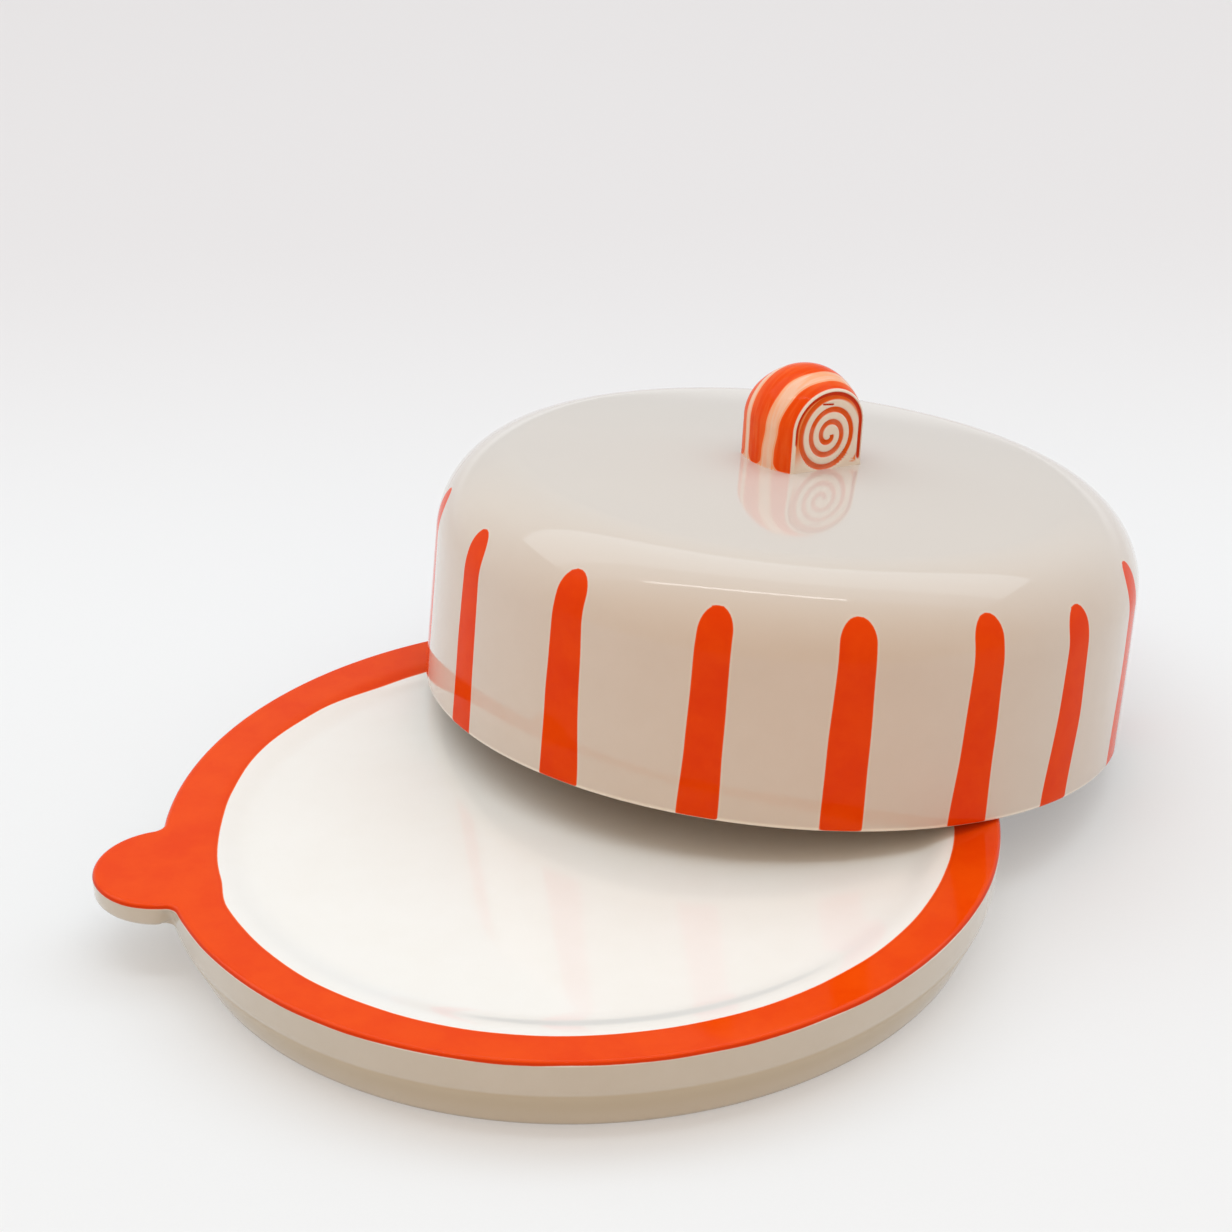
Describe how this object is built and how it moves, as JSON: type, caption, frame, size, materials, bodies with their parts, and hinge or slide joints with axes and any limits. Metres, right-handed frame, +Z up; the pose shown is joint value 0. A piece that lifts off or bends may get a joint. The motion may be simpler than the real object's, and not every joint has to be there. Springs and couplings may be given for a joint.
{
  "type": "serving plate with cloche",
  "caption": "Round glazed serving plate with a finger tab and a shallow well, and a low drum-shaped cloche with a rolled knob, shown lifted off and leaning on the plate's rim.",
  "frame": {"origin": "on the table, under the middle of the bounding box of the plate and the leaning cloche", "axes": "+Z up from the table; +X to the right of someone who has the plate in front and the cloche behind it on the right; +Y away from that person"},
  "size_m": [0.3588, 0.3652, 0.1439],
  "materials": {
    "plate_glaze": "glossy white glaze with a hand-painted orange rim",
    "cloche_glaze": "glossy cream glaze with hand-painted orange strokes",
    "knob_glaze": "glossy glaze, orange and cream bands with a carved spiral in each end"
  },
  "bodies": {
    "plate": {"plate": "plate_glaze"},
    "cloche": {"cloche": "cloche_glaze", "knob": "knob_glaze"}
  },
  "joints": [
    {"name": "cloche_lift", "type": "slide", "parent": "plate", "child": "cloche", "axis": [0, 0, 1], "range_m": [0, 0.15]}
  ]
}
